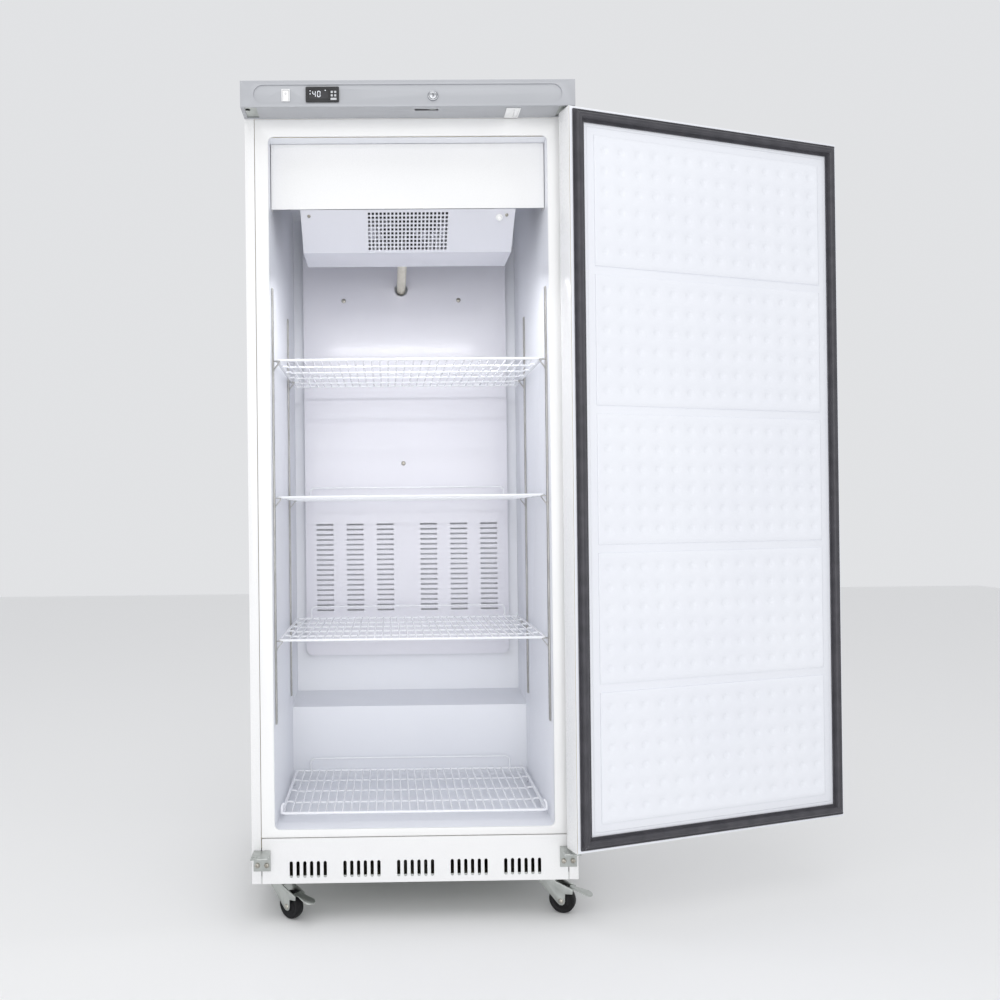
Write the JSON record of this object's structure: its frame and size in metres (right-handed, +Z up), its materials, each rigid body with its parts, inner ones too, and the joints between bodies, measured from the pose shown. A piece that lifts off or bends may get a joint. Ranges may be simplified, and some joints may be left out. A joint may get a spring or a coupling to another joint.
{
  "type": "reach-in refrigerator",
  "caption": "Upright single-door commercial reach-in refrigerator on casters, its solid door swung fully open, with wire shelves, fan shroud and machine room.",
  "frame": {"origin": "centre of the bounding box's footprint, on the floor under the casters", "axes": "+Z up, -Y out of the cabinet's front, +X to the right seen from the front; the door stands open to +X"},
  "size_m": [1.4946, 0.7522, 1.97],
  "materials": {
    "white_enamel": "gloss white baked enamel",
    "liner_plastic": "smooth white formed plastic",
    "foam_cream": "rigid insulating foam",
    "white_plastic": "smooth white moulding",
    "zinc_plate": "zinc plated",
    "black_plastic": "fine texture",
    "header_grey": "smooth silver grey",
    "chrome_plate": "polished",
    "gasket_grey": "soft vinyl",
    "aluminium_fin": "mill finish",
    "wire_coat": "plastic coated wire",
    "cream_pvc": "smooth tube",
    "black_enamel": "semi gloss black",
    "wheel_black": "hard rubber tread"
  },
  "bodies": {
    "cabinet": {"outer_case": "white_enamel", "foam_insulation": "foam_cream", "inner_liner": "liner_plastic", "breaker_frame": "white_plastic", "base_tray": "zinc_plate", "kick_grille": "white_enamel", "rear_grille": "white_enamel", "power_cord_gland": "black_plastic", "header_shell": "header_grey", "rocker_bezel": "white_plastic", "controller_body": "black_plastic", "door_switch_housing": "white_plastic", "upper_hinge": "zinc_plate", "spare_upper_hinge": "zinc_plate", "lower_hinge": "zinc_plate", "spare_lower_hinge": "zinc_plate", "evaporator_front_panel": "white_enamel", "fan_shroud": "white_enamel", "evaporator_coil": "aluminium_fin", "evaporator_fan_motor": "black_plastic", "drain_pipe": "cream_pvc", "duct_panel": "white_enamel", "pilaster_front_left": "aluminium_fin", "pilaster_front_right": "aluminium_fin", "pilaster_rear_left": "aluminium_fin", "pilaster_rear_right": "aluminium_fin", "compressor": "black_enamel", "condenser": "black_enamel", "condenser_fan_motor": "black_enamel", "evaporation_pan": "black_plastic"},
    "power_rocker": {"power_rocker": "white_plastic"},
    "controller_button_1": {"controller_button_1": "black_plastic"},
    "controller_button_2": {"controller_button_2": "black_plastic"},
    "controller_button_3": {"controller_button_3": "black_plastic"},
    "controller_button_4": {"controller_button_4": "black_plastic"},
    "controller_button_5": {"controller_button_5": "black_plastic"},
    "lock_barrel": {"lock_barrel": "chrome_plate"},
    "lock_bolt": {"lock_bolt": "zinc_plate"},
    "door_switch_plunger": {"door_switch_plunger": "white_plastic"},
    "door": {"door_skin": "white_enamel", "door_foam": "foam_cream", "door_liner": "liner_plastic", "door_gasket": "gasket_grey", "door_handle": "white_plastic"},
    "evaporator_fan": {"evaporator_fan": "black_plastic"},
    "condenser_fan": {"condenser_fan": "aluminium_fin"},
    "shelf_1": {"shelf_1": "wire_coat"},
    "shelf_2": {"shelf_2": "wire_coat"},
    "shelf_3": {"shelf_3": "wire_coat"},
    "shelf_4": {"shelf_4": "wire_coat"},
    "caster_front_left": {"caster_fork_front_left": "zinc_plate"},
    "wheel_front_left": {"caster_wheel_front_left": "wheel_black"},
    "caster_front_right": {"caster_fork_front_right": "zinc_plate"},
    "wheel_front_right": {"caster_wheel_front_right": "wheel_black"},
    "caster_rear_left": {"caster_fork_rear_left": "zinc_plate"},
    "wheel_rear_left": {"caster_wheel_rear_left": "wheel_black"},
    "caster_rear_right": {"caster_fork_rear_right": "zinc_plate"},
    "wheel_rear_right": {"caster_wheel_rear_right": "wheel_black"},
    "pedal_front_left": {"brake_pedal_front_left": "zinc_plate"},
    "pedal_front_right": {"brake_pedal_front_right": "zinc_plate"}
  },
  "joints": [
    {"name": "door_hinge", "type": "hinge", "parent": "cabinet", "child": "door", "pos_m": [0.0152, -0.33319, 0.176], "axis": [0, 0, 1], "range_deg": [-198, 0]},
    {"name": "power_rocker_pivot", "type": "hinge", "parent": "cabinet", "child": "power_rocker", "pos_m": [-0.6423, -0.34219, 1.937], "axis": [1, 0, 0], "range_deg": [-12, 0]},
    {"name": "controller_button_1_press", "type": "slide", "parent": "cabinet", "child": "controller_button_1", "axis": [0, 1, 0], "range_m": [0, 0.0008], "stiffness_N_per_m": 200},
    {"name": "controller_button_2_press", "type": "slide", "parent": "cabinet", "child": "controller_button_2", "axis": [0, 1, 0], "range_m": [0, 0.0008], "stiffness_N_per_m": 200},
    {"name": "controller_button_3_press", "type": "slide", "parent": "cabinet", "child": "controller_button_3", "axis": [0, 1, 0], "range_m": [0, 0.0008], "stiffness_N_per_m": 200},
    {"name": "controller_button_4_press", "type": "slide", "parent": "cabinet", "child": "controller_button_4", "axis": [0, 1, 0], "range_m": [0, 0.0008], "stiffness_N_per_m": 200},
    {"name": "controller_button_5_press", "type": "slide", "parent": "cabinet", "child": "controller_button_5", "axis": [0, 1, 0], "range_m": [0, 0.0008], "stiffness_N_per_m": 200},
    {"name": "lock_barrel_turn", "type": "hinge", "parent": "cabinet", "child": "lock_barrel", "pos_m": [-0.3008, -0.34319, 1.935], "axis": [0, 1, 0], "range_deg": [0, 90]},
    {"name": "lock_bolt_drop", "type": "slide", "parent": "cabinet", "child": "lock_bolt", "axis": [0, 0, -1], "range_m": [0, 0.01]},
    {"name": "door_switch_press", "type": "slide", "parent": "cabinet", "child": "door_switch_plunger", "axis": [0, 0, 1], "range_m": [0, 0.0025], "stiffness_N_per_m": 300},
    {"name": "evaporator_fan_spin", "type": "hinge", "parent": "cabinet", "child": "evaporator_fan", "pos_m": [-0.3588, -0.18062, 1.68734], "axis": [0, 0.6856, 0.7279], "continuous": true},
    {"name": "condenser_fan_spin", "type": "hinge", "parent": "cabinet", "child": "condenser_fan", "pos_m": [-0.5688, 0.28381, 0.232], "axis": [0, 1, 0], "continuous": true},
    {"name": "shelf_1_slide", "type": "slide", "parent": "cabinet", "child": "shelf_1", "axis": [0, -1, 0], "range_m": [0, 0.35]},
    {"name": "shelf_2_slide", "type": "slide", "parent": "cabinet", "child": "shelf_2", "axis": [0, -1, 0], "range_m": [0, 0.35]},
    {"name": "shelf_3_slide", "type": "slide", "parent": "cabinet", "child": "shelf_3", "axis": [0, -1, 0], "range_m": [0, 0.35]},
    {"name": "shelf_4_slide", "type": "slide", "parent": "cabinet", "child": "shelf_4", "axis": [0, -1, 0], "range_m": [0, 0.35]},
    {"name": "caster_front_left_swivel", "type": "hinge", "parent": "cabinet", "child": "caster_front_left", "pos_m": [-0.6828, -0.24319, 0.086], "axis": [0, 0, 1], "continuous": true},
    {"name": "wheel_front_left_roll", "type": "hinge", "parent": "caster_front_left", "child": "wheel_front_left", "pos_m": [-0.65675, -0.26505, 0.03175], "axis": [0.6428, 0.766, 0], "continuous": true},
    {"name": "pedal_front_left_brake", "type": "hinge", "parent": "caster_front_left", "child": "pedal_front_left", "pos_m": [-0.6399, -0.27919, 0.059], "axis": [0.6428, 0.766, 0], "range_deg": [-8, 0]},
    {"name": "caster_front_right_swivel", "type": "hinge", "parent": "cabinet", "child": "caster_front_right", "pos_m": [-0.0348, -0.24319, 0.086], "axis": [0, 0, 1], "continuous": true},
    {"name": "wheel_front_right_roll", "type": "hinge", "parent": "caster_front_right", "child": "wheel_front_right", "pos_m": [-0.00398, -0.25756, 0.03175], "axis": [0.4226, 0.9063, 0], "continuous": true},
    {"name": "pedal_front_right_brake", "type": "hinge", "parent": "caster_front_right", "child": "pedal_front_right", "pos_m": [0.01596, -0.26686, 0.059], "axis": [0.4226, 0.9063, 0], "range_deg": [-8, 0]},
    {"name": "caster_rear_left_swivel", "type": "hinge", "parent": "cabinet", "child": "caster_rear_left", "pos_m": [-0.6828, 0.31981, 0.086], "axis": [0, 0, 1], "continuous": true},
    {"name": "wheel_rear_left_roll", "type": "hinge", "parent": "caster_rear_left", "child": "wheel_rear_left", "pos_m": [-0.71282, 0.33577, 0.03175], "axis": [-0.4695, -0.8829, 0], "continuous": true},
    {"name": "caster_rear_right_swivel", "type": "hinge", "parent": "cabinet", "child": "caster_rear_right", "pos_m": [-0.0348, 0.31981, 0.086], "axis": [0, 0, 1], "continuous": true},
    {"name": "wheel_rear_right_roll", "type": "hinge", "parent": "caster_rear_right", "child": "wheel_rear_right", "pos_m": [-0.06561, 0.30544, 0.03175], "axis": [0.4226, -0.9063, 0], "continuous": true}
  ],
  "couplings": [
    {"joint": "lock_barrel_turn", "follows": "lock_bolt_drop", "rad_per_m": 157}
  ]
}
